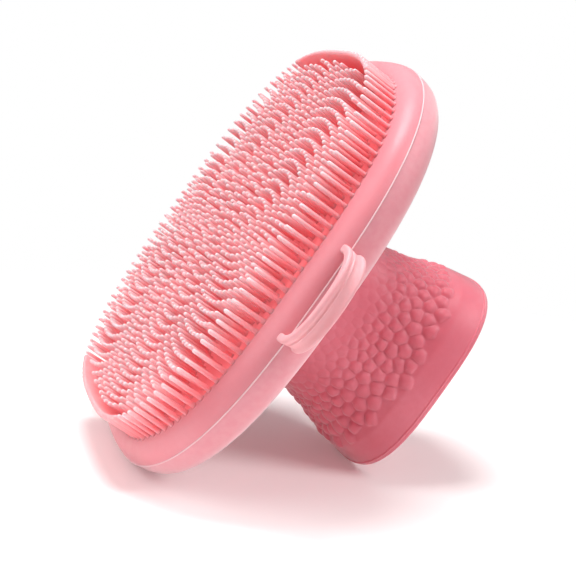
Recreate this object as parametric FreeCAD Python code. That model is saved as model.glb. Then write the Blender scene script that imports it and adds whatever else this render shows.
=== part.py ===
"""Hand-held silicone facial cleansing brush, in millimetres.

A rounded-square head carries a field of soft bristles on its front.  Behind it a
waisted, textured grip widens to a hollow foot that the brush stands on.  A flat
hanging loop stands off one side of the head, across the moulding line.

Frame: the origin is the centre of the foot's rim, +Z runs up the grip to the bristle
tips, +X is the head's longer axis, and the hanging loop is on the -Y side.  The head
sits slightly to the +X side of the grip's axis.
"""
import FreeCAD, Part
import math
import os
from FreeCAD import Vector

# ---- head ---------------------------------------------------------------------
HEAD_X = 41.8            # half length at the moulding line
HEAD_Y = 40.3            # half width at the moulding line
HEAD_POWER = 2.6         # 2 is an ellipse, larger is squarer
HEAD_SHIFT = 0.55        # the head's middle stands this far to +X of the grip's axis
SHIFT_LOW_Z = 27.0       # the sideways step is blended in between these heights
SHIFT_HIGH_Z = 31.0
SEAM_Z = 36.8            # height of the moulding line, the head's widest plane
FLASH_PROUD = 0.15       # the thin flash that runs round the moulding line
FLASH_THICK = 0.2
FLOOR_Z = 40.2           # floor that the bristles stand on
SHOULDER_INSET = 3.7     # how far the front shoulder leans in from the moulding line
SHOULDER_TURNS = (20, 40, 58, 75, 90)  # degrees round the shoulder's quarter turn
# drop below the moulding line and inset of the rear shell's rounded edge
SHELL_EDGE = (
    (6.6, 9.5), (6.3, 6.4), (5.9, 4.2), (5.3, 2.5), (4.4, 1.25), (3.2, 0.45), (1.8, 0.1), (0.0, 0.0),
)

# ---- bristles -----------------------------------------------------------------
FIELD_X = 37.4           # half length of the outer row, on the bristles' axes
FIELD_Y = 36.2
FIELD_POWER = 2.95
TIP_Z = 46.5             # height of every bristle tip
EDGE_PITCH = 1.97        # spacing along the outer row
EDGE_ROOT_R = 0.44
EDGE_TIP_R = 0.36
ROOT_RIB_WIDTH = 1.2     # low rib that the outer row's roots share
ROOT_RIB_HEIGHT = 0.2
END_WALL_THICK = 0.8     # thin wall that closes the row across each end of the head
END_WALL_HALF_Y = 21.0
SPIRAL_STEP = 1.126      # bristle n stands at SPIRAL_STEP * sqrt(n) from the centre
SPIRAL_PHASE = 5.262     # direction of the spiral's start, in radians
SPIRAL_CENTRE = (0.05, 0.95)
SPIRAL_ROOM = 1.75       # the spiral stops this far inside the outer row
SPIRAL_REACH = 1.3       # the spiral runs out to this many half lengths of the outer row
INNER_ROOT_R = 0.39
INNER_TIP_R = 0.32
GOLDEN_ANGLE = math.pi * (3 - math.sqrt(5))

# ---- grip and foot ------------------------------------------------------------
GRIP_POWER = 3.0
GRIP_SQUASH = 0.96       # width over length of the grip and the foot
GRIP_TOP_Z = 27.0        # where the grip meets the back of the head
GRIP_BASE_Z = 6.0        # where the texture ends and the smooth foot begins
WALL = 3.2               # silicone around the grip's core
FOOT_WALL = 2.6          # thickness of the foot's flared skirt
CUP_ROOF_Z = 4.8         # roof of the hollow under the foot
CUP_SHOULDER_DROP = 1.4  # the hollow's rounded corner starts this far below its roof
CUP_LEAN = 0.6           # the hollow's side leans in by this much up to the corner
CUP_CORNER = 2.0         # and by this much more across the corner
# height and half length of the grip and foot, from the floor up
GRIP_PROFILE = (
    (0.0, 19.7), (0.3, 20.15), (1.0, 20.3), (2.5, 20.05), (4.4, 19.6), (6.0, 19.2), (9.0, 18.1),
    (12.4, 17.0), (15.4, 16.4), (19.0, 15.9), (22.0, 15.6), (24.5, 15.9), (27.0, 17.2),
)
# height above the grip's top and growth in half length of the neck under the head
NECK_FLARE = ((0.0, 0.0), (0.7, 1.1), (1.6, 3.2), (2.4, 6.8))

# ---- hanging loop -------------------------------------------------------------
LOOP_HALF_LENGTH = 8.9
LOOP_REACH = 6.6         # how far it stands off the moulding line
LOOP_POWER = 2.5
LOOP_THICK = 1.4
LOOP_LOW_Z = 34.7
LOOP_HIGH_Z = 38.3
LOOP_GROOVE = 0.3        # depth of the shallow channel round its outer face
LOOP_BEAD = 0.8          # height of the bead that is left above and below the channel

# ---- core ---------------------------------------------------------------------
CORE_INSET = 6.5         # from the moulding line to the core plate's edge
CORE_LOW_Z = 35.0
CORE_HIGH_Z = 38.2
STEM_BASE_Z = 9.0
STEM_STEPS = 4           # sections of the stem between the grip and the plate

OVERCUT = 1.0            # cutting tools run this far past what they cut


def axis_x(z):
    """Sideways place of the middle of the section at a height."""
    share = min(max((z - SHIFT_LOW_Z) / (SHIFT_HIGH_Z - SHIFT_LOW_Z), 0), 1)
    return HEAD_SHIFT * share * share * (3 - 2 * share)


def squircle_points(half_x, half_y, power, z, count):
    """Evenly turned points of a rounded square in a level plane."""
    points = []
    for step in range(count):
        turn = 2 * math.pi * step / count
        c = math.cos(turn)
        s = math.sin(turn)
        reach = (abs(c) ** power + abs(s) ** power) ** (-1 / power)
        points.append(Vector(axis_x(z) + half_x * reach * c, half_y * reach * s, z))
    return points


def squircle_wire(half_x, half_y, power, z, count=40):
    """Closed smooth outline of a rounded square."""
    curve = Part.BSplineCurve()
    curve.interpolate(Points=squircle_points(half_x, half_y, power, z, count), PeriodicFlag=True)
    return Part.Wire([curve.toShape()])


def loft(sections):
    """Solid through (half_x, half_y, power, z) sections, lowest first."""
    return Part.makeLoft([squircle_wire(*section) for section in sections], True, False)


def head_section(inset, z):
    """Section of the head, moved in from the moulding line."""
    return (HEAD_X - inset, HEAD_Y - inset, HEAD_POWER, z)


def grip_section(half_length, z):
    """Section of the grip or the foot."""
    return (half_length, half_length * GRIP_SQUASH, GRIP_POWER, z)


def core_plate():
    """Stiff plate sealed in the head between its two halves."""
    return loft([head_section(CORE_INSET, CORE_LOW_Z), head_section(CORE_INSET, CORE_HIGH_Z)])


def brush_face(plate):
    """Front half of the head: domed shoulder, bristle floor and the flash at its rim."""
    rise = FLOOR_Z - SEAM_Z
    sections = [head_section(0, SEAM_Z)]
    for degrees in SHOULDER_TURNS:
        turn = math.radians(degrees)
        sections.append(head_section(SHOULDER_INSET * (1 - math.cos(turn)), SEAM_Z + rise * math.sin(turn)))
    flash = loft([head_section(-FLASH_PROUD, SEAM_Z), head_section(-FLASH_PROUD, SEAM_Z + FLASH_THICK)])
    return loft(sections).fuse(flash).cut(plate).removeSplitter()


def back_shell(plate):
    """Rear half of the head, narrowing to the neck of the grip."""
    neck = GRIP_PROFILE[-1][1]
    sections = [grip_section(neck + growth, GRIP_TOP_Z + rise) for rise, growth in NECK_FLARE]
    sections += [head_section(inset, SEAM_Z - drop) for drop, inset in SHELL_EDGE]
    return loft(sections).cut(plate).cut(core_stem()).removeSplitter()


def grip_outline(low, high):
    """Sections of the grip's outer skin between two heights."""
    return [grip_section(half, z) for z, half in GRIP_PROFILE if low <= z <= high]


def core_stem():
    """Stiff stem that stands in the grip and carries the plate."""
    sections = [grip_section(half - WALL, z) for z, half in GRIP_PROFILE if STEM_BASE_Z <= z <= GRIP_TOP_Z]
    top_half = GRIP_PROFILE[-1][1] - WALL
    for step in range(1, STEM_STEPS + 1):
        z = GRIP_TOP_Z + (CORE_LOW_Z - GRIP_TOP_Z) * step / STEM_STEPS
        sections.append(grip_section(top_half, z))
    return loft(sections)


def grip_sleeve():
    """Waisted silicone sleeve round the core's stem."""
    return loft(grip_outline(GRIP_BASE_Z, GRIP_TOP_Z)).cut(core_stem())


def foot_cup():
    """Smooth flared foot with a hollow underneath, which stands flat on its rim."""
    outside = loft(grip_outline(0.0, GRIP_BASE_Z))
    rim = GRIP_PROFILE[0][1] - FOOT_WALL
    hollow = loft([
        grip_section(rim, -OVERCUT),
        grip_section(rim, 0.0),
        grip_section(rim - CUP_LEAN, CUP_ROOF_Z - CUP_SHOULDER_DROP),
        grip_section(rim - CUP_LEAN - CUP_CORNER, CUP_ROOF_Z),
    ])
    return outside.cut(hollow)


def bristle(x, y, floor_z, root_r, tip_r):
    """One tapered bristle with a domed tip, standing on floor_z."""
    shoulder = TIP_Z - tip_r
    dome = Vector(x + tip_r * math.sin(math.pi / 4), y, shoulder + tip_r * math.cos(math.pi / 4))
    corners = [
        Vector(x, y, floor_z),
        Vector(x + root_r, y, floor_z),
        Vector(x + tip_r, y, shoulder),
        Vector(x, y, TIP_Z),
    ]
    edges = [
        Part.LineSegment(corners[0], corners[1]).toShape(),
        Part.LineSegment(corners[1], corners[2]).toShape(),
        Part.Arc(corners[2], dome, corners[3]).toShape(),
        Part.LineSegment(corners[3], corners[0]).toShape(),
    ]
    half = Part.Face(Part.Wire(edges))
    return half.revolve(corners[0], Vector(0, 0, 1), 360)


def row_ring(half_width, low, high):
    """Upright ring of one width that follows the outer row."""
    outer = [(FIELD_X + half_width, FIELD_Y + half_width, FIELD_POWER, z) for z in (low, high)]
    inner = [(FIELD_X - half_width, FIELD_Y - half_width, FIELD_POWER, z)
             for z in (low - OVERCUT, high + OVERCUT)]
    return loft(outer).cut(loft(inner))


def edge_positions():
    """Evenly spaced places along the outer row, with one in the middle of each side."""
    outline = squircle_wire(FIELD_X, FIELD_Y, FIELD_POWER, FLOOR_Z).Edges[0]
    count = round(outline.Length / EDGE_PITCH)
    places = outline.discretize(Number=2 * count + 1)[1::2]
    return [place for place in places if abs(place.y) > END_WALL_HALF_Y]


def end_walls():
    """Thin walls that stand in the row's place across both ends of the head."""
    ring = row_ring(END_WALL_THICK / 2, FLOOR_Z, TIP_Z)
    middle = Part.makeBox(4 * HEAD_X, 2 * END_WALL_HALF_Y, 2 * TIP_Z, Vector(-2 * HEAD_X, -END_WALL_HALF_Y, 0))
    return ring.common(middle).Solids


def edge_bristles():
    """Outer row: bristles along both sides and a thin wall across each end, on one low rib."""
    rib = row_ring(ROOT_RIB_WIDTH / 2, FLOOR_Z, FLOOR_Z + ROOT_RIB_HEIGHT)
    row = [bristle(p.x, p.y, FLOOR_Z, EDGE_ROOT_R, EDGE_TIP_R) for p in edge_positions()]
    return rib.multiFuse(row + end_walls())


def spiral_positions():
    """Places of a golden-angle spiral that fall inside the outer row."""
    room_x = FIELD_X - SPIRAL_ROOM
    room_y = FIELD_Y - SPIRAL_ROOM
    last = int((SPIRAL_REACH * FIELD_X / SPIRAL_STEP) ** 2)
    places = []
    for n in range(last):
        reach = SPIRAL_STEP * math.sqrt(n + 0.5)
        turn = SPIRAL_PHASE - (n + 0.5) * GOLDEN_ANGLE
        x = SPIRAL_CENTRE[0] + reach * math.cos(turn)
        y = SPIRAL_CENTRE[1] + reach * math.sin(turn)
        inside = abs((x - HEAD_SHIFT) / room_x) ** FIELD_POWER + abs(y / room_y) ** FIELD_POWER
        if inside < 1:
            places.append((x, y))
    return places


def inner_bristles():
    """Field of bristles inside the outer row."""
    return Part.makeCompound(
        [bristle(x, y, FLOOR_Z, INNER_ROOT_R, INNER_TIP_R) for x, y in spiral_positions()])


def loop_slab(inset, low, high):
    """Rounded slab centred on the head's side; the half outside the head is the loop's plan."""
    sections = [(LOOP_HALF_LENGTH - inset, LOOP_REACH - inset, LOOP_POWER, z) for z in (low, high)]
    slab = loft(sections)
    slab.translate(Vector(0, -HEAD_Y, 0))
    return slab


def hang_loop(face, shell, plate):
    """Flat hanging loop with a shallow channel round its outer face."""
    band = loop_slab(0, LOOP_LOW_Z, LOOP_HIGH_Z)
    slot = loop_slab(LOOP_THICK, LOOP_LOW_Z - OVERCUT, LOOP_HIGH_Z + OVERCUT)
    channel_low = LOOP_LOW_Z + LOOP_BEAD
    channel_high = LOOP_HIGH_Z - LOOP_BEAD
    channel = loop_slab(-OVERCUT, channel_low, channel_high)
    channel = channel.cut(loop_slab(LOOP_GROOVE, channel_low, channel_high))
    ring = band.cut(slot).cut(channel)
    head = face.fuse(shell).fuse(plate)
    outside = [piece for piece in ring.cut(head).Solids if piece.CenterOfMass.y < -HEAD_Y]
    return max(outside, key=lambda piece: piece.Volume)


def main():
    """Build every sub-part and write one STEP file for each."""
    plate = core_plate()
    face = brush_face(plate)
    shell = back_shell(plate)
    nodes = {
        "brush_face": face,
        "edge_bristles": edge_bristles(),
        "inner_bristles": inner_bristles(),
        "back_shell": shell,
        "grip_sleeve": grip_sleeve(),
        "foot_cup": foot_cup(),
        "hang_loop": hang_loop(face, shell, plate),
        "core_plate": plate,
        "core_stem": core_stem(),
    }
    os.makedirs("parts", exist_ok=True)
    for name, shape in nodes.items():
        shape.exportStep("parts/" + name + ".step")
        box = shape.optimalBoundingBox()
        print(name, len(shape.Solids), "solids", round(shape.Volume, 1), "mm3", shape.isValid(),
              [round(v, 2) for v in (box.XMin, box.XMax, box.YMin, box.YMax, box.ZMin, box.ZMax)])


main()
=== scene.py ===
"""Looks of a hand-held silicone facial cleansing brush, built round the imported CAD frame.

The origin is the centre of the foot's rim, and +Z runs up the grip to the bristle tips. Lengths
in the named constants are millimetres, except where a comment or a name ending in _M says metres.
"""

import math

import bpy
import numpy as np
from mathutils import Matrix, Vector
from mathutils.kdtree import KDTree


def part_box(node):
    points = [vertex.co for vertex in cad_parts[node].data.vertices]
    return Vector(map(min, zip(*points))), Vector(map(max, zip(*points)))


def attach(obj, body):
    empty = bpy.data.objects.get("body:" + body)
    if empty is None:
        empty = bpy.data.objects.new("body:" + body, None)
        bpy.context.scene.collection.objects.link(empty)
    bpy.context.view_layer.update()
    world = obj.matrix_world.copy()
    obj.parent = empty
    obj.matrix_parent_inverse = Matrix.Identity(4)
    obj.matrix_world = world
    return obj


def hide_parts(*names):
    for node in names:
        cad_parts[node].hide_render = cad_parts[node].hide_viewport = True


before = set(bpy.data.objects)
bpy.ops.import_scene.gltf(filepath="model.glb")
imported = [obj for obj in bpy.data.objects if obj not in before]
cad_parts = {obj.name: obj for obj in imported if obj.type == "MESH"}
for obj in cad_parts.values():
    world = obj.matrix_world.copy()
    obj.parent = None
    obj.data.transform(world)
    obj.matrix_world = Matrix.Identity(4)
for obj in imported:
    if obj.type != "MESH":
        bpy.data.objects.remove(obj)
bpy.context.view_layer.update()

MM = 0.001
SEED = 11

# ---- viewing angle ---------------------------------------------------------------
VIEW_ELEVATION = math.radians(18.68)
VIEW_ROLL = math.radians(-54.37)
VIEW_DISTANCE = 235.4
VIEW_AIM = Vector((-0.95, -4.75, 29.65))
VIEW_LENS = 82.85
VIEW_SENSOR = 36.0
VIEW_CLIP_M = (0.01, 10.0)

# ---- light: sizes and places in metres, powers in watts -----------------------------
AMBIENT_COLOUR = (1.0, 0.90, 0.91)
AMBIENT_STRENGTH = 0.27
KEY_DIRECTION = (0.80, 0.06, 0.60)
KEY_SIZE = 0.26
KEY_POWER = 2.7
SIDE_DIRECTION = (0.85, -0.50, -0.15)
SIDE_SIZE = 0.35
SIDE_POWER = 1.6
FIELD_LAMP_DIRECTION = (0.20, -0.25, 0.95)
FIELD_LAMP_SIZE = 0.5
FIELD_LAMP_POWER = 1.45
LAMP_DISTANCE = 0.55
LAMP_AIM = (0, 0, 0.025)

# ---- floor of the stage, in metres ------------------------------------------------
FLOOR_HALF = 0.42
FLOOR_ROWS = 25
FLOOR_FADE = (0.07, 0.19)     # distances from its middle between which it fades out
FLOOR_AHEAD = 0.022           # from below the foot to its middle, towards the head
FLOOR_GAP = 0.00005           # clearance under the brush
HEAD_ABOVE = 0.030            # heights that tell the head and the foot apart
FOOT_BELOW = 0.010
LEAN_RANGE = (20, 50)         # degrees
LEAN_HALVINGS = 40
FLOOR_LIGHT = (0.92, 0.91, 0.905)
FLOOR_DEEP = (0.89, 0.875, 0.87)
FLOOR_GLOW_COLOUR = (1.0, 0.88, 0.88)
FLOOR_GLOW = 0.13

# ---- sizes read from the frame ---------------------------------------------------
shell_low, shell_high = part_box("back_shell")
face_low, face_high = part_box("brush_face")
_, row_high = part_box("edge_bristles")
loop_low, loop_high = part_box("hang_loop")
HEAD_X = 0.5 * (shell_high.x - shell_low.x) / MM
HEAD_SHIFT = 0.5 * (shell_high.x + shell_low.x) / MM
HEAD_Y = shell_high.y / MM
SEAM_Z = face_low.z / MM
FLOOR_Z = face_high.z / MM
TIP_Z = row_high.z / MM
BRISTLE_LENGTH = TIP_Z - FLOOR_Z

# ---- sideways place of the body ----------------------------------------------------
SHIFT_LOW_Z = 27.0
SHIFT_HIGH_Z = 31.0
WAIST_SHIFT = -0.25
WAIST_LOW_Z = 3.0
WAIST_FULL_Z = 9.0
WAIST_HIGH_Z = 17.0

# ---- head ------------------------------------------------------------------------
HEAD_POWER = 2.6
HEAD_TURNS = 480
SHOULDER_INSET = 3.7
SHOULDER_ROUND = 1.9
SHOULDER_STEPS = 26
FACE_SHARES = (0.985, 0.96, 0.93, 0.88, 0.8, 0.7, 0.58, 0.46, 0.34, 0.22, 0.12, 0.04, 0.002)
FACE_SLACK = 0.01             # a facet this close to the floor's height belongs to the floor
FLASH_PROUD = 0.14
FLASH_THICK = 0.2
FLASH_SUNK = -0.25

# ---- bristles --------------------------------------------------------------------
FIELD_X = 37.4
FIELD_Y = 36.2
FIELD_POWER = 2.95
OUTLINE_STEPS = 7200
# height above the floor and share of the flare at a bristle's root
ROOT_FLARE = ((-0.06, 1.0), (0.1, 0.55), (0.28, 0.2), (0.6, 0.0))
TAPER_SHARES = (0.35, 0.6, 0.82)
DOME_DEGREES = (0, 22, 45, 66)
BEND_POWER = 1.6
EDGE_PITCH = 1.97
EDGE_FLARE = 0.1
EDGE_SIDES = 14
EDGE_ROOT_R = 0.43
EDGE_TIP_R = 0.35
WALL_HALF = 0.38
WALL_HALF_Y = 21.0
WALL_RIB = 0.24
WALL_RIB_HALF = 0.45
WALL_STEPS = 2400
# across, as a share of the half thickness, and height above the floor of a wall's flared root
WALL_ROOT = ((1.5, -0.05), (1.15, 0.12), (1.0, 0.5))
WALL_TOP = 0.98
SPIRAL_STEP = 1.126
SPIRAL_PHASE = 5.262
SPIRAL_CENTRE = (0.05, 0.95)
SPIRAL_ROOM = 1.75
SPIRAL_REACH = 1.3
INNER_ROOT_R = 0.39
INNER_TIP_R = 0.35
INNER_FLARE = 0.12
INNER_SIDES = 12
TIP_SWAY = 0.006
# the coral painted shade of the field's floor reaches this far past the field's outline
CORAL_SHADE_MARGIN = 0.4
GIRTH_SPREAD = 0.012
GOLDEN_ANGLE = math.pi * (3 - math.sqrt(5))

# ---- body, from the seam down ----------------------------------------------------------
GRIP_SQUASH = 0.96            # width over length
GRIP_POWER = 3.0
BODY_TURNS = 640
BODY_STEP = 0.2
LIP_STEP = 0.1
CUP_STEP = 0.4
CURVE_DIVISIONS = 40
GROUND_CLEARANCE = 0.01
# drop below the seam, and inset from the moulding line
HEAD_STATIONS = (
    (0.0, 0.0), (0.9, 0.02), (1.8, 0.1), (3.2, 0.45), (4.4, 1.25), (5.3, 2.5), (5.9, 4.2),
    (6.3, 6.4), (6.6, 9.5), (7.0, 13.0),
)
# height and half length, from here on
NECK_STATIONS = ((29.3, 23.8), (28.5, 20.3), (27.6, 18.1))
GRIP_STATIONS = (
    (26.0, 16.4), (24.5, 15.75), (22.0, 15.35), (19.0, 15.5), (15.4, 15.9), (12.4, 16.5),
    (9.2, 17.45), (7.6, 18.15), (6.4, 18.85), (5.6, 19.3), (4.4, 19.6), (2.8, 19.95),
    (1.6, 20.1),
)
LIP_STATIONS = (
    (1.25, 20.12), (1.14, 20.27), (1.0, 20.29), (0.88, 20.2), (0.45, 20.17), (0.18, 20.0),
    (0.02, 19.5),
)
CUP_STATIONS = (
    (0.02, 18.1), (0.14, 17.5), (0.6, 17.1), (2.0, 16.8), (3.4, 16.3), (4.3, 15.2), (4.7, 13.4),
    (4.78, 10.0), (4.8, 4.5), (4.8, 0.4),
)

# ---- pebbled texture of the grip --------------------------------------------------------
PEBBLE_LOW_Z = 6.0
PEBBLE_HIGH_Z = 25.5
PEBBLE_SMALL = 1.6
PEBBLE_LARGE = 2.45
PEBBLE_HEIGHT = 0.72
PEBBLE_GROOVE = 0.10
PEBBLE_ROUND = 0.85
PEBBLE_EVENING = 4
PEBBLE_FADE_LOW = 14.0
PEBBLE_FADE_HIGH = 20.5
PEBBLE_NEIGHBOURS = 6
PEBBLE_CANDIDATES = 30000
PEBBLE_CLOSEST = 0.84         # share of the local spacing
PEBBLE_EVEN_BELOW = 3.0       # the spacing stops shrinking this far below the top
PEBBLE_LIFT = (0.75, 1.0)     # range of the domes' heights, as a share of the full height
PEBBLE_START = 0.6            # lowest domes, above the bottom of the texture
PEBBLE_START_SPREAD = 0.3
PEBBLE_REACH = 0.6            # radius of a dome, as a share of the distance to its neighbours
PEBBLE_FADE_SHARE = 0.8       # height lost towards the head
PEBBLE_SIZE_POWER = 0.6
PEBBLE_MARGINS = (3.0, 1.0)   # skin worked on below and above the texture

# ---- hanging loop --------------------------------------------------------------------
LOOP_HALF = 0.5 * (loop_high.x - loop_low.x) / MM
LOOP_FRONT = -loop_low.y / MM
LOOP_LOW = loop_low.z / MM
LOOP_HIGH = loop_high.z / MM
LOOP_THICK = 1.4
LOOP_POWER = 2.3
LOOP_BEAD = 0.8
LOOP_CHANNEL = 0.3
LOOP_SOFT = 0.42              # rounding of the band's corners
LOOP_TURNS = 73
LOOP_ROOT_STEPS = 4
LOOP_CORNER_STEPS = 6

bpy.context.scene.view_settings.view_transform = "Standard"
rng = np.random.default_rng(SEED)


# ---- mesh helpers -----------------------------------------------------------------
def squircle(turn, half_x, half_y, power):
    """Points of a rounded square at the given turns."""
    c = np.cos(turn)
    s = np.sin(turn)
    reach = (np.abs(c) ** power + np.abs(s) ** power) ** (-1 / power)
    return half_x * reach * c, half_y * reach * s


def make_object(name, points, faces, material):
    """Smooth-shaded object from points in millimetres, riding on the one body."""
    mesh = bpy.data.meshes.new(name)
    mesh.from_pydata((np.asarray(points) * MM).tolist(), [], faces)
    mesh.polygons.foreach_set("use_smooth", [True] * len(mesh.polygons))
    mesh.validate()
    piece = bpy.data.objects.new(name, mesh)
    bpy.context.scene.collection.objects.link(piece)
    mesh.materials.append(material)
    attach(piece, "root")
    return piece


def grid_faces(rows, cols, closed_rows=False, start=0):
    """Quads of a grid whose columns close on themselves."""
    index = start + np.arange(rows * cols).reshape(rows, cols)
    if closed_rows:
        index = np.vstack([index, index[:1]])
    low = index[:-1]
    high = index[1:]
    quads = np.stack([low, np.roll(low, -1, 1), np.roll(high, -1, 1), high], -1)
    return quads.reshape(-1, 4).tolist()


def end_caps(rows, cols):
    """Faces that close the first and the last ring of a grid."""
    return [list(range(cols))[::-1], [(rows - 1) * cols + k for k in range(cols)]]


def smooth_stations(stations, step):
    """Even samples of a smooth curve through the stations."""
    knots = np.asarray(stations, float)
    gaps = np.sqrt(np.linalg.norm(np.diff(knots[:, :3], axis=0), axis=1))
    times = np.concatenate([[0], np.cumsum(gaps)])
    slopes = np.gradient(knots, times, axis=0)
    dense = []
    for k in range(len(knots) - 1):
        span = times[k + 1] - times[k]
        t = np.linspace(0, 1, CURVE_DIVISIONS, endpoint=False)[:, None]
        h = [2 * t**3 - 3 * t**2 + 1, t**3 - 2 * t**2 + t, -2 * t**3 + 3 * t**2, t**3 - t**2]
        dense.append(
            h[0] * knots[k] + h[1] * span * slopes[k]
            + h[2] * knots[k + 1] + h[3] * span * slopes[k + 1])
    dense = np.vstack(dense + [knots[-1:]])
    strides = np.linalg.norm(np.diff(dense[:, :3], axis=0), axis=1)
    along = np.concatenate([[0], np.cumsum(strides)])
    count = max(3, int(along[-1] / step) + 1)
    wanted = np.linspace(0, along[-1], count)
    return np.stack([np.interp(wanted, along, dense[:, k]) for k in range(dense.shape[1])], -1)


def smoothstep(low, high, value):
    """Smooth rise from 0 at low to 1 at high."""
    t = np.clip((value - low) / (high - low), 0, 1)
    return t * t * (3 - 2 * t)


def axis_x(z):
    """Sideways place of the middle of the body at a height."""
    above_waist = smoothstep(WAIST_HIGH_Z, SHIFT_LOW_Z, z)
    waist = smoothstep(WAIST_LOW_Z, WAIST_FULL_Z, z) * (1 - above_waist)
    return HEAD_SHIFT * smoothstep(SHIFT_LOW_Z, SHIFT_HIGH_Z, z) + WAIST_SHIFT * waist


def ring_points(stations, turns):
    """Grid of points, one ring for each (z, half_x, half_y, power) station."""
    z, half_x, half_y, power = (stations[:, k][:, None] for k in range(4))
    x, y = squircle(turns[None, :], half_x, half_y, power)
    return np.stack([x + axis_x(z), y, np.broadcast_to(z, x.shape)], -1)


def grid_normals(points):
    """Outward unit normals of a grid of rings that runs downwards."""
    around = np.roll(points, -1, 1) - np.roll(points, 1, 1)
    along = np.gradient(points, axis=0)
    normal = np.cross(along, around)
    return normal / np.maximum(np.linalg.norm(normal, axis=-1, keepdims=True), 1e-9)


# ---- materials --------------------------------------------------------------------
class Nodes:
    """Shorthand for building a material's node tree."""

    def __init__(self, name):
        self.material = bpy.data.materials.new(name)
        self.material.use_nodes = True
        self.tree = self.material.node_tree
        self.shader = self.tree.nodes["Principled BSDF"]
        self.place = self.add("ShaderNodeTexCoord").outputs["Object"]

    def add(self, kind, **values):
        node = self.tree.nodes.new(kind)
        for key, value in values.items():
            setattr(node, key, value)
        return node

    def link(self, source, target):
        self.tree.links.new(source, target)

    def noise(self, scale, detail, rough=0.5):
        node = self.add("ShaderNodeTexNoise")
        self.link(self.place, node.inputs["Vector"])
        node.inputs["Scale"].default_value = scale
        node.inputs["Detail"].default_value = detail
        node.inputs["Roughness"].default_value = rough
        return node.outputs["Fac"]

    def spread(self, value, from_low, from_high, to_low, to_high):
        node = self.add("ShaderNodeMapRange")
        self.link(value, node.inputs["Value"])
        ends = {"From Min": from_low, "From Max": from_high, "To Min": to_low, "To Max": to_high}
        for key, number in ends.items():
            node.inputs[key].default_value = number
        return node.outputs["Result"]

    def mix(self, factor, first, second):
        node = self.add("ShaderNodeMix", data_type="RGBA")
        self.link(factor, node.inputs["Factor"])
        for socket, colour in ((node.inputs[6], first), (node.inputs[7], second)):
            if isinstance(colour, tuple):
                socket.default_value = (*colour, 1)
            else:
                self.link(colour, socket)
        return node.outputs[2]

    def height(self):
        """Height above the foot's rim, in metres."""
        node = self.add("ShaderNodeSeparateXYZ")
        self.link(self.place, node.inputs["Vector"])
        return node.outputs["Z"]

    def bump(self, value, distance, strength):
        node = self.add("ShaderNodeBump")
        node.inputs["Distance"].default_value = distance
        node.inputs["Strength"].default_value = strength
        self.link(value, node.inputs["Height"])
        self.link(node.outputs["Normal"], self.shader.inputs["Normal"])


def silicone(name, light, deep, soft=0.25, rough=(0.36, 0.5), sheen=0.2, blend=None):
    """Satin moulded silicone: slow colour drift, fine orange-peel surface, soft inner light.

    blend is (low z, high z, power, colour), z in metres, for pieces that change colour with height:
    the painted highlight on the bristle tips and wall rims, and the paler shell above the grip's
    partly painted shade.
    """
    make = Nodes(name)
    colour = make.mix(make.spread(make.noise(60, 4), 0.3, 0.7, 0, 1), light, deep)
    speck = make.spread(make.noise(900, 2), 0.35, 0.65, 0, 0.25)
    colour = make.mix(speck, colour, deep)
    if blend:
        low, high, power, other = blend
        curve = make.add("ShaderNodeMath", operation="POWER")
        make.link(make.spread(make.height(), low, high, 0, 1), curve.inputs[0])
        curve.inputs[1].default_value = power
        colour = make.mix(curve.outputs[0], colour, make.mix(speck, other, light))
    make.link(colour, make.shader.inputs["Base Color"])
    make.link(make.spread(make.noise(350, 3), 0.3, 0.7, *rough), make.shader.inputs["Roughness"])
    make.bump(make.noise(2600, 2, 0.6), 0.00002, 0.5)
    make.shader.inputs["Subsurface Weight"].default_value = soft
    make.shader.inputs["Subsurface Radius"].default_value = SUBSURFACE_TINT
    make.shader.inputs["Subsurface Scale"].default_value = SUBSURFACE_DEPTH_M
    make.shader.inputs["IOR"].default_value = SILICONE_IOR
    make.shader.inputs["Sheen Weight"].default_value = sheen
    make.shader.inputs["Sheen Roughness"].default_value = SHEEN_ROUGHNESS
    return make.material


def plastic(name, light, deep):
    """Fine-grained nylon-like plastic of the hidden core."""
    make = Nodes(name)
    grain = make.spread(make.noise(1500, 4), 0.3, 0.7, 0, 1)
    make.link(make.mix(grain, light, deep), make.shader.inputs["Base Color"])
    make.link(make.spread(make.noise(400, 3), 0.3, 0.7, 0.4, 0.6), make.shader.inputs["Roughness"])
    make.bump(grain, 0.00004, 0.4)
    return make.material


SUBSURFACE_TINT = (1.0, 0.25, 0.28)
SUBSURFACE_DEPTH_M = 0.0024
SILICONE_IOR = 1.41
SHEEN_ROUGHNESS = 0.45
PINK_LIGHT = (0.79, 0.285, 0.325)
PINK_DEEP = (0.75, 0.23, 0.27)
# painted highlight: the pale pink that the bristles turn to at their tips
TIP_HIGHLIGHT_PINK = (0.98, 0.70, 0.715)
SHAFT = (0.95, 0.335, 0.36)
EDGE_SHAFT = (0.94, 0.33, 0.36)
# painted shade: the deep coral of the field's floor between the bristles stands for the shade and
# red bounce light gathered there; CORAL also mottles the bristles
CORAL = (0.95, 0.24, 0.265)
CORAL_DEEP = (0.92, 0.19, 0.215)
# painted shade, in part: the grip's pinks are deeper and redder than the shell's, for the shade and
# red bounce light under the head
BODY_LIGHT = (0.73, 0.20, 0.255)
BODY_DEEP = (0.67, 0.135, 0.185)
SHELL_PINK = (0.79, 0.32, 0.365)
# painted highlight: the pale pink of the end walls' rounded top rims
WALL_RIM_HIGHLIGHT = (0.92, 0.45, 0.47)
LOOP_LIGHT = (0.86, 0.44, 0.47)
LOOP_DEEP = (0.83, 0.37, 0.40)
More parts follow.
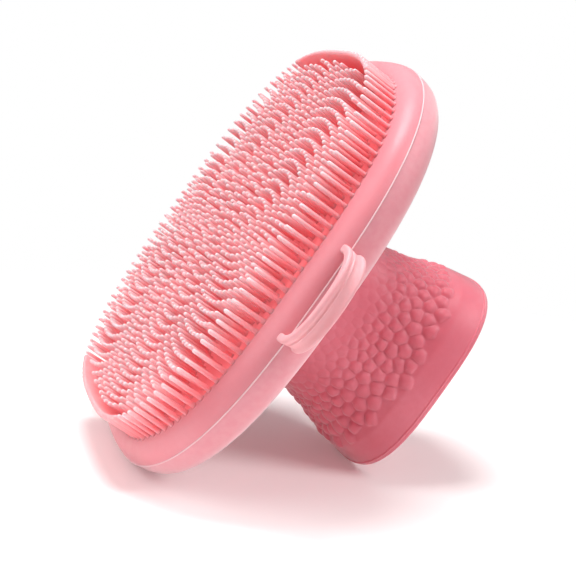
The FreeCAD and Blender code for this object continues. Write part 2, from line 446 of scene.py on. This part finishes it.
# painted highlight: the flash is paler than the skin round it, for the light its thin proud edge
# catches
FLASH_HIGHLIGHT_LIGHT = (0.95, 0.59, 0.62)
FLASH_HIGHLIGHT_DEEP = (0.93, 0.53, 0.56)
CORE_COLOURS = (
    ("core_plate", (0.80, 0.78, 0.76), (0.70, 0.68, 0.66)),
    ("core_stem", (0.78, 0.76, 0.74), (0.67, 0.65, 0.64)),
)
# heights, in metres, between which the colour changes: from the grip's deeper pinks, partly painted
# shade, to the paler shell, and up the bristles to their painted tip highlight
SHELL_BLEND = (0.0285, 0.0315)
TIP_HIGHLIGHT_BLEND = ((FLOOR_Z + 0.5) * MM, TIP_Z * MM)


def bristle_silicone(name, light, power, top):
    """Soft silicone, light mottled with coral, that turns paler towards the top: a painted
    highlight.
    """
    return silicone(
        name, light, CORAL, soft=0.8, rough=(0.4, 0.52), sheen=0.0,
        blend=(*TIP_HIGHLIGHT_BLEND, power, top))


skin_material = silicone("head_silicone", PINK_LIGHT, PINK_DEEP)
# the grip's deeper pinks are partly painted shade; above SHELL_BLEND the body turns to the paler
# shell pink
body_material = silicone(
    "body_silicone", BODY_LIGHT, BODY_DEEP, rough=(0.40, 0.54), sheen=0.7,
    blend=(*SHELL_BLEND, 1.0, SHELL_PINK))
loop_material = silicone("loop_silicone", LOOP_LIGHT, LOOP_DEEP, soft=0.3)
flash_material = silicone("flash_silicone", FLASH_HIGHLIGHT_LIGHT, FLASH_HIGHLIGHT_DEEP, soft=0.3)
# bristles and end walls turn paler towards their tops: painted highlight
bristle_material = bristle_silicone("bristle_silicone", SHAFT, 1.6, TIP_HIGHLIGHT_PINK)
edge_material = bristle_silicone("edge_bristle_silicone", EDGE_SHAFT, 1.6, TIP_HIGHLIGHT_PINK)
wall_material = bristle_silicone("end_wall_silicone", EDGE_SHAFT, 1.2, WALL_RIM_HIGHLIGHT)
# painted shade: deep coral floor of the field, between the bristles
field_shade_material = silicone("field_floor_painted_shade", CORAL, CORAL_DEEP, soft=0.3, sheen=0.0)


# ---- head front -------------------------------------------------------------------
def face_skin():
    """Front of the head: convex shoulder, and the floor that the bristles stand on."""
    stations = []
    for t in np.linspace(0, math.pi / 2, SHOULDER_STEPS):
        inset = SHOULDER_INSET * (1 - math.cos(t) ** (2 / SHOULDER_ROUND))
        z = SEAM_Z + (FLOOR_Z - SEAM_Z) * math.sin(t) ** (2 / SHOULDER_ROUND)
        stations.append((z, HEAD_X - inset, HEAD_Y - inset, HEAD_POWER))
    rim_x = HEAD_X - SHOULDER_INSET
    rim_y = HEAD_Y - SHOULDER_INSET
    for share in FACE_SHARES:
        stations.append((FLOOR_Z, rim_x * share, rim_y * share, HEAD_POWER))
    turns = np.linspace(0, 2 * math.pi, HEAD_TURNS, endpoint=False)
    points = ring_points(np.array(stations), turns)[::-1]
    rows, cols = points.shape[:2]
    skin = make_object(
        "front_shell", points.reshape(-1, 3), grid_faces(rows, cols), skin_material)
    skin.data.materials.append(field_shade_material)
    # faces of the floor within the field, and a little past it, take the coral painted shade
    inside = [0] * len(skin.data.polygons)
    for polygon in skin.data.polygons:
        centre = polygon.center
        if centre.z > (FLOOR_Z - FACE_SLACK) * MM:
            across = abs(centre.x / MM - HEAD_SHIFT) / (FIELD_X + CORAL_SHADE_MARGIN)
            along = abs(centre.y / MM) / (FIELD_Y + CORAL_SHADE_MARGIN)
            inside[polygon.index] = int(across**FIELD_POWER + along**FIELD_POWER < 1)
    skin.data.polygons.foreach_set("material_index", inside)
    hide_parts("brush_face")
    return skin


def flash_lip():
    """Thin line of flash that stands proud all round the moulding line, in a paler pink that paints
    its highlight.
    """
    section = [
        (SEAM_Z - 0.02, FLASH_SUNK), (SEAM_Z, 0.5 * FLASH_PROUD),
        (SEAM_Z + 0.3 * FLASH_THICK, FLASH_PROUD), (SEAM_Z + 0.7 * FLASH_THICK, FLASH_PROUD),
        (SEAM_Z + FLASH_THICK, 0.5 * FLASH_PROUD), (SEAM_Z + FLASH_THICK + 0.06, FLASH_SUNK),
    ]
    stations = np.array([(z, HEAD_X + out, HEAD_Y + out, HEAD_POWER) for z, out in section[::-1]])
    turns = np.linspace(0, 2 * math.pi, HEAD_TURNS, endpoint=False)
    points = ring_points(stations, turns)
    rows, cols = points.shape[:2]
    make_object(
        "seam_flash", points.reshape(-1, 3), grid_faces(rows, cols, True), flash_material)


# ---- bristles ---------------------------------------------------------------------
def bristle_profile(root_r, tip_r, flare):
    """Radius against height of one bristle: flared root, long taper, domed tip."""
    profile = [(z, root_r + share * flare) for z, share in ROOT_FLARE]
    for share in TAPER_SHARES:
        profile.append((share * BRISTLE_LENGTH, root_r + (tip_r - root_r) * share))
    shoulder = BRISTLE_LENGTH - tip_r
    for degrees in DOME_DEGREES:
        turn = math.radians(degrees)
        profile.append((shoulder + tip_r * math.sin(turn), tip_r * math.cos(turn)))
    return np.array(profile)


def bristle_field(name, places, root_r, tip_r, flare, sides, material):
    """One mesh of many bristles at the given places."""
    profile = bristle_profile(root_r, tip_r, flare)
    rings = len(profile)
    turns = np.linspace(0, 2 * math.pi, sides, endpoint=False)
    points = []
    faces = []
    for number, (x, y) in enumerate(places):
        lean = rng.normal(0, TIP_SWAY, 2)
        girth = 1 + rng.normal(0, GIRTH_SPREAD)
        spin = rng.uniform(0, math.pi)
        start = number * (rings * sides + 1)
        bend = (np.clip(profile[:, 0], 0, None) / BRISTLE_LENGTH) ** BEND_POWER
        radius = profile[:, 1][:, None] * girth
        ring = np.stack([
            x + lean[0] * bend[:, None] + radius * np.cos(turns + spin),
            y + lean[1] * bend[:, None] + radius * np.sin(turns + spin),
            np.broadcast_to(FLOOR_Z + profile[:, 0][:, None], (rings, sides)),
        ], -1)
        points.append(ring.reshape(-1, 3))
        points.append(np.array([[x + lean[0], y + lean[1], TIP_Z]]))
        faces.extend(grid_faces(rings, sides, start=start))
        pole = start + rings * sides
        last = pole - sides
        faces.extend([(last + k, last + (k + 1) % sides, pole) for k in range(sides)])
        faces.append([start + k for k in range(sides)][::-1])
    return make_object(name, np.vstack(points), faces, material)


def outline_curve():
    """Dense points along the outer row, and the distance along it up to each."""
    turns = np.linspace(0, 2 * math.pi, OUTLINE_STEPS, endpoint=False)
    x, y = squircle(turns, FIELD_X, FIELD_Y, FIELD_POWER)
    steps = np.hypot(np.roll(x, -1) - x, np.roll(y, -1) - y)
    return x, y, np.concatenate([[0], np.cumsum(steps)])


def outline(count):
    """Evenly spaced places along the outer row, outward directions there, and the row's length."""
    x, y, along = outline_curve()
    wanted = np.linspace(0, along[-1], count, endpoint=False)
    px = np.interp(wanted, along, np.append(x, x[0])) + HEAD_SHIFT
    py = np.interp(wanted, along, np.append(y, y[0]))
    tx = np.roll(px, -1) - np.roll(px, 1)
    ty = np.roll(py, -1) - np.roll(py, 1)
    size = np.hypot(tx, ty)
    return px, py, ty / size, -tx / size, along[-1]


def edge_row():
    """Outer row of bristles along both sides, up to where the end walls start."""
    count = round(outline_curve()[2][-1] / EDGE_PITCH)
    px, py = outline(2 * count)[:2]
    places = [(x, y) for x, y in zip(px[1::2], py[1::2]) if abs(y) > WALL_HALF_Y]
    row = bristle_field(
        "edge_row", places, EDGE_ROOT_R, EDGE_TIP_R, EDGE_FLARE, EDGE_SIDES, edge_material)
    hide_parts("edge_bristles")


def end_walls():
    """Thin walls with a rounded top that stand in the row's place across both ends of the head."""
    px, py, nx, ny, length = outline(WALL_STEPS)
    step = length / WALL_STEPS
    pitch = length / round(length / EDGE_PITCH)
    section = [*WALL_ROOT, (WALL_TOP, BRISTLE_LENGTH - WALL_HALF)]
    for t in np.linspace(0, math.pi, 9)[1:-1]:
        section.append((WALL_TOP * math.cos(t), BRISTLE_LENGTH - WALL_HALF * (1 - math.sin(t))))
    section += [(-across, up) for across, up in section[3::-1]]
    for side, name in ((1, "end_wall_right"), (-1, "end_wall_left")):
        pick = np.nonzero((np.abs(py) < WALL_HALF_Y) & ((px - HEAD_SHIFT) * side > 0))[0]
        pick = pick[np.argsort(py[pick] * side)]
        along = (pick * step) % pitch / pitch - 0.5
        rib = np.sqrt(np.clip(1 - (along * pitch / WALL_RIB_HALF) ** 2, 0, 1))
        rings = []
        for across, up in section:
            out = WALL_HALF * across + WALL_RIB * rib * max(across, 0)
            x = px[pick] + nx[pick] * out
            y = py[pick] + ny[pick] * out
            rings.append(np.stack([x, y, np.full(len(pick), FLOOR_Z + up)], -1))
        points = np.array(rings).transpose(1, 0, 2)
        rows, cols = points.shape[:2]
        faces = grid_faces(rows, cols) + end_caps(rows, cols)
        make_object(name, points.reshape(-1, 3), faces, wall_material)


def inner_field():
    """Golden-angle spiral of bristles inside the outer row."""
    room_x = FIELD_X - SPIRAL_ROOM
    room_y = FIELD_Y - SPIRAL_ROOM
    places = []
    for n in range(int((SPIRAL_REACH * FIELD_X / SPIRAL_STEP) ** 2)):
        reach = SPIRAL_STEP * math.sqrt(n + 0.5)
        turn = SPIRAL_PHASE - (n + 0.5) * GOLDEN_ANGLE
        x = SPIRAL_CENTRE[0] + reach * math.cos(turn)
        y = SPIRAL_CENTRE[1] + reach * math.sin(turn)
        if abs((x - HEAD_SHIFT) / room_x) ** FIELD_POWER + abs(y / room_y) ** FIELD_POWER < 1:
            places.append((x, y))
    field = bristle_field(
        "spiral_field", places, INNER_ROOT_R, INNER_TIP_R, INNER_FLARE, INNER_SIDES,
        bristle_material)
    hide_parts("inner_bristles")


# ---- body -------------------------------------------------------------------------
def grip_sections(stations):
    """Full sections from (height, half length) pairs."""
    return [(z, half, half * GRIP_SQUASH, GRIP_POWER) for z, half in stations]


def body_stations():
    """Sections of the body, over the foot's lip into its cup, and how many come before the lip."""
    head = [
        (SEAM_Z - drop, HEAD_X - inset, HEAD_Y - inset, HEAD_POWER)
        for drop, inset in HEAD_STATIONS]
    neck = grip_sections(NECK_STATIONS + GRIP_STATIONS)
    upper = smooth_stations(head + neck, BODY_STEP)
    lip = smooth_stations(grip_sections(GRIP_STATIONS[-1:] + LIP_STATIONS), LIP_STEP)
    cup = smooth_stations(grip_sections(LIP_STATIONS[-1:] + CUP_STATIONS), CUP_STEP)
    return np.vstack([upper, lip[1:], cup[1:]]), len(upper)


def pebble_space(z):
    """Distance between neighbouring domes at a height; they shrink towards the head."""
    share = smoothstep(PEBBLE_LOW_Z, PEBBLE_HIGH_Z - PEBBLE_EVEN_BELOW, z)
    return PEBBLE_LARGE + (PEBBLE_SMALL - PEBBLE_LARGE) * share


def seed_tree(seeds):
    """Search tree over the centres."""
    tree = KDTree(len(seeds))
    for number, seed in enumerate(seeds):
        tree.insert(Vector(seed), number)
    tree.balance()
    return tree


def pebble_seeds(points):
    """Scattered centres on the grip, closer together towards the head."""
    rows, cols = points.shape[:2]
    candidates = points[
        rng.integers(0, rows, PEBBLE_CANDIDATES), rng.integers(0, cols, PEBBLE_CANDIDATES)]
    seeds = np.zeros((0, 3))
    for candidate in candidates:
        gaps = np.linalg.norm(seeds - candidate, axis=1)
        if len(gaps) == 0 or gaps.min() > PEBBLE_CLOSEST * pebble_space(candidate[2]):
            seeds = np.vstack([seeds, candidate])
    flat = points.reshape(-1, 3)
    for _ in range(PEBBLE_EVENING):
        tree = seed_tree(seeds)
        owner = np.array([tree.find(Vector(point))[1] for point in flat])
        share = np.maximum(np.bincount(owner, minlength=len(seeds)), 1)
        seeds = np.stack([np.bincount(owner, flat[:, k], len(seeds)) / share for k in range(3)], -1)
    return seeds


def pebble_heights(points, seeds):
    """Height of the domes over each point of the grip."""
    tree = seed_tree(seeds)
    lift = rng.uniform(*PEBBLE_LIFT, len(seeds))
    ragged = rng.normal(0, PEBBLE_START_SPREAD, len(seeds))
    lift[seeds[:, 2] < PEBBLE_LOW_Z + PEBBLE_START + ragged] = 0
    around = [tree.find_n(Vector(seed), PEBBLE_NEIGHBOURS)[1:] for seed in seeds]
    reach = np.array([
        PEBBLE_REACH * np.mean([found[2] for found in others]) for others in around])
    flat = points.reshape(-1, 3)
    near = np.array([
        [found[1] for found in tree.find_n(Vector(point), PEBBLE_NEIGHBOURS)] for point in flat])
    first = near[:, 0]
    d1 = np.linalg.norm(flat - seeds[first], axis=1)
    height = lift[first] * np.clip(1 - (d1 / reach[first]) ** 2, 0, 1) ** PEBBLE_ROUND
    for k in range(1, PEBBLE_NEIGHBOURS):
        other = near[:, k]
        dk = np.linalg.norm(flat - seeds[other], axis=1)
        apart = np.linalg.norm(seeds[other] - seeds[first], axis=1)
        gap = (dk**2 - d1**2) / (2 * np.maximum(apart, 1e-6))
        height *= 1 - np.exp(-gap / PEBBLE_GROOVE)
    space = pebble_space(flat[:, 2])
    fade = 1 - PEBBLE_FADE_SHARE * smoothstep(PEBBLE_FADE_LOW, PEBBLE_FADE_HIGH, flat[:, 2])
    size = (space / PEBBLE_LARGE) ** PEBBLE_SIZE_POWER
    return (PEBBLE_HEIGHT * np.clip(height, 0, 1) * fade * size).reshape(points.shape[:2])


def body_skin():
    """One continuous skin: rear shell, waisted pebbled grip, flared foot and its hollow."""
    stations, upper = body_stations()
    turns = np.linspace(0, 2 * math.pi, BODY_TURNS, endpoint=False)
    points = ring_points(stations, turns)
    normals = grid_normals(points)
    z = points[:, 0, 2]
    below, above = PEBBLE_MARGINS
    textured = (z > PEBBLE_LOW_Z - below) & (z < PEBBLE_HIGH_Z + above)
    grip = np.nonzero(textured & (np.arange(len(z)) < upper))[0]
    low, high = grip[0], grip[-1] + 1
    seeds = pebble_seeds(points[low:high])
    points[low:high] += normals[low:high] * pebble_heights(points[low:high], seeds)[..., None]
    points[..., 2] = np.maximum(points[..., 2], GROUND_CLEARANCE)
    rows, cols = points.shape[:2]
    faces = grid_faces(rows, cols) + end_caps(rows, cols)[1:]
    skin = make_object("body_skin", points.reshape(-1, 3), faces, body_material)
    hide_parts("back_shell", "grip_sleeve", "foot_cup")
    return skin


# ---- hanging loop -----------------------------------------------------------------
def loop_path():
    """Centre line of the loop's band in plan, with outward directions."""
    half = LOOP_THICK / 2
    turns = np.linspace(math.pi, 2 * math.pi, LOOP_TURNS)
    x, y = squircle(turns, LOOP_HALF - half, LOOP_FRONT - HEAD_Y - half, LOOP_POWER)
    root = np.linspace(1.5, 0.3, LOOP_ROOT_STEPS)
    x = np.concatenate([np.full(LOOP_ROOT_STEPS, x[0]), x, np.full(LOOP_ROOT_STEPS, x[-1])])
    y = np.concatenate([root, y, root[::-1]])
    tx = np.gradient(x)
    ty = np.gradient(y)
    size = np.hypot(tx, ty)
    return np.column_stack([x + HEAD_SHIFT, y - HEAD_Y]), np.column_stack([ty / size, -tx / size])


def loop_section():
    """Section of the band: out from its centre line, and height."""
    half = LOOP_THICK / 2
    channel = half - LOOP_CHANNEL
    soft = LOOP_SOFT
    quarter = np.linspace(0, math.pi / 2, LOOP_CORNER_STEPS)
    corners = [
        (-half + soft * (1 - math.sin(t)), LOOP_HIGH - soft * (1 - math.cos(t))) for t in quarter]
    inner_low = [(o, LOOP_LOW + (LOOP_HIGH - z)) for o, z in corners[::-1]]
    outer = [
        (half - soft * (1 - math.sin(t)), LOOP_HIGH - soft * (1 - math.cos(t))) for t in quarter]
    groove_top = LOOP_HIGH - LOOP_BEAD
    groove_low = LOOP_LOW + LOOP_BEAD
    face = [
        (half, groove_top + 0.25), (half - 0.1, groove_top + 0.08), (channel, groove_top - 0.25),
        (channel, SEAM_Z + 0.3), (channel + 0.05, SEAM_Z + 0.22), (channel + 0.14, SEAM_Z + 0.16),
        (channel + 0.14, SEAM_Z + 0.04), (channel + 0.05, SEAM_Z - 0.02), (channel, SEAM_Z - 0.1),
        (channel, groove_low + 0.25), (half - 0.1, groove_low - 0.08), (half, groove_low - 0.25),
    ]
    outer_low = [(o, LOOP_LOW + (LOOP_HIGH - z)) for o, z in outer[::-1]]
    return np.array(outer + face + outer_low + inner_low + corners[::-1])


def hang_loop():
    """Flat loop with a bead above and below its shallow channel, sunk into the head's side."""
    path, normal = loop_path()
    section = loop_section()
    rings = []
    for out, z in section:
        xy = path + normal * out
        rings.append(np.column_stack([xy, np.full(len(xy), z)]))
    points = np.array(rings).transpose(1, 0, 2)
    rows, cols = points.shape[:2]
    faces = grid_faces(rows, cols) + end_caps(rows, cols)
    loop = make_object("loop_band", points.reshape(-1, 3), faces, loop_material)
    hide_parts("hang_loop")


# ---- stage ------------------------------------------------------------------------
def leaning_floor(body, face):
    """Plane that the tilted brush rests on: it touches the head's rim and the foot's rim."""
    co = []
    for piece in (body, face):
        flat = np.zeros(len(piece.data.vertices) * 3)
        piece.data.vertices.foreach_get("co", flat)
        co.append(flat.reshape(-1, 3))
    cloud = np.vstack(co)
    head = cloud[cloud[:, 2] > HEAD_ABOVE]
    foot = cloud[cloud[:, 2] < FOOT_BELOW]
    low, high = (math.radians(degrees) for degrees in LEAN_RANGE)
    for _ in range(LEAN_HALVINGS):
        middle = (low + high) / 2
        up = np.array([math.cos(middle), 0, math.sin(middle)])
        if (head @ up).min() < (foot @ up).min():
            low = middle
        else:
            high = middle
    level = min((head @ up).min(), (foot @ up).min()) - FLOOR_GAP
    along = np.array([-up[2], 0, up[0]])
    centre = up * level + along * FLOOR_AHEAD
    return Vector(centre), Vector(up)


def stage(body, face):
    """Pale floor whose edge melts into the white surroundings, seen from above only."""
    centre, up = leaning_floor(body, face)
    mesh = bpy.data.meshes.new("floor")
    side = Vector((0, 1, 0))
    along = up.cross(side)
    rows = FLOOR_ROWS
    points = []
    for i in range(rows):
        for k in range(rows):
            u = FLOOR_HALF * (2 * i / (rows - 1) - 1)
            v = FLOOR_HALF * (2 * k / (rows - 1) - 1)
            points.append(centre + side * u + along * v)
    faces = []
    for i in range(rows - 1):
        for k in range(rows - 1):
            a = i * rows + k
            faces.append((a, a + 1, a + rows + 1, a + rows))
    mesh.from_pydata(points, [], faces)
    if mesh.polygons[0].normal.dot(up) < 0:
        mesh.flip_normals()
    floor = bpy.data.objects.new("floor", mesh)
    bpy.context.scene.collection.objects.link(floor)
    make = Nodes("floor_paper")
    tone = make.mix(make.spread(make.noise(14, 3), 0.3, 0.7, 0, 1), FLOOR_LIGHT, FLOOR_DEEP)
    make.link(tone, make.shader.inputs["Base Color"])
    make.link(make.spread(make.noise(40, 3), 0.3, 0.7, 0.55, 0.7), make.shader.inputs["Roughness"])
    make.bump(make.noise(800, 2), 0.00004, 0.3)
    make.shader.inputs["Emission Color"].default_value = (*FLOOR_GLOW_COLOUR, 1)
    make.shader.inputs["Emission Strength"].default_value = FLOOR_GLOW
    distance = make.add("ShaderNodeVectorMath", operation="DISTANCE")
    make.link(make.place, distance.inputs[0])
    distance.inputs[1].default_value = centre
    fade = make.spread(distance.outputs["Value"], *FLOOR_FADE, 1, 0)
    clear = make.add("ShaderNodeBsdfTransparent")
    edge = make.add("ShaderNodeMixShader")
    make.link(fade, edge.inputs[0])
    make.link(clear.outputs[0], edge.inputs[1])
    make.link(make.shader.outputs[0], edge.inputs[2])
    back = make.add("ShaderNodeNewGeometry")
    sided = make.add("ShaderNodeMixShader")
    make.link(back.outputs["Backfacing"], sided.inputs[0])
    make.link(edge.outputs[0], sided.inputs[1])
    make.link(clear.outputs[0], sided.inputs[2])
    out = make.tree.nodes["Material Output"]
    make.link(sided.outputs[0], out.inputs["Surface"])
    mesh.materials.append(make.material)


def lamp(name, direction, size, power):
    """Round soft light in one direction from the brush's middle."""
    light = bpy.data.lights.new(name, "AREA")
    light.shape = "DISK"
    light.size = size
    light.energy = power
    holder = bpy.data.objects.new(name, light)
    way = Vector(direction).normalized()
    holder.location = Vector(LAMP_AIM) + way * LAMP_DISTANCE
    holder.rotation_mode = "QUATERNION"
    holder.rotation_quaternion = (-way).to_track_quat("-Z", "Y")
    bpy.context.scene.collection.objects.link(holder)


def lights():
    """White backdrop for the camera, a dim rosy surround, and three round lamps."""
    world = bpy.data.worlds.new("studio")
    bpy.context.scene.world = world
    world.use_nodes = True
    tree = world.node_tree
    background = tree.nodes["Background"]
    background.inputs["Color"].default_value = (*AMBIENT_COLOUR, 1)
    background.inputs["Strength"].default_value = AMBIENT_STRENGTH
    backdrop = tree.nodes.new("ShaderNodeBackground")
    backdrop.inputs["Color"].default_value = (1, 1, 1, 1)
    path = tree.nodes.new("ShaderNodeLightPath")
    choose = tree.nodes.new("ShaderNodeMixShader")
    tree.links.new(path.outputs["Is Camera Ray"], choose.inputs[0])
    tree.links.new(background.outputs[0], choose.inputs[1])
    tree.links.new(backdrop.outputs[0], choose.inputs[2])
    tree.links.new(choose.outputs[0], tree.nodes["World Output"].inputs["Surface"])
    lamp("key", KEY_DIRECTION, KEY_SIZE, KEY_POWER)
    lamp("side", SIDE_DIRECTION, SIDE_SIZE, SIDE_POWER)
    lamp("field", FIELD_LAMP_DIRECTION, FIELD_LAMP_SIZE, FIELD_LAMP_POWER)


def camera():
    """Camera at the photograph's viewing angle."""
    back = Vector((0, -math.cos(VIEW_ELEVATION), math.sin(VIEW_ELEVATION)))
    level = Vector((1, 0, 0))
    rise = back.cross(level)
    right = math.cos(VIEW_ROLL) * level + math.sin(VIEW_ROLL) * rise
    up = back.cross(right)
    data = bpy.data.cameras.new("camera")
    data.lens = VIEW_LENS
    data.sensor_width = VIEW_SENSOR
    data.clip_start, data.clip_end = VIEW_CLIP_M
    holder = bpy.data.objects.new("camera", data)
    bpy.context.scene.collection.objects.link(holder)
    turn = Matrix((right, up, back)).transposed()
    holder.matrix_world = Matrix.Translation((VIEW_AIM + back * VIEW_DISTANCE) * MM) @ turn.to_4x4()
    bpy.context.scene.camera = holder


def core_materials():
    """Plastic for the stiff core that the silicone hides."""
    for node, light, deep in CORE_COLOURS:
        material = plastic(node + "_plastic", light, deep)
        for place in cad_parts[node].material_slots:
            place.material = material


camera()
front = face_skin()
flash_lip()
edge_row()
end_walls()
inner_field()
body = body_skin()
hang_loop()
core_materials()
stage(body, front)
lights()
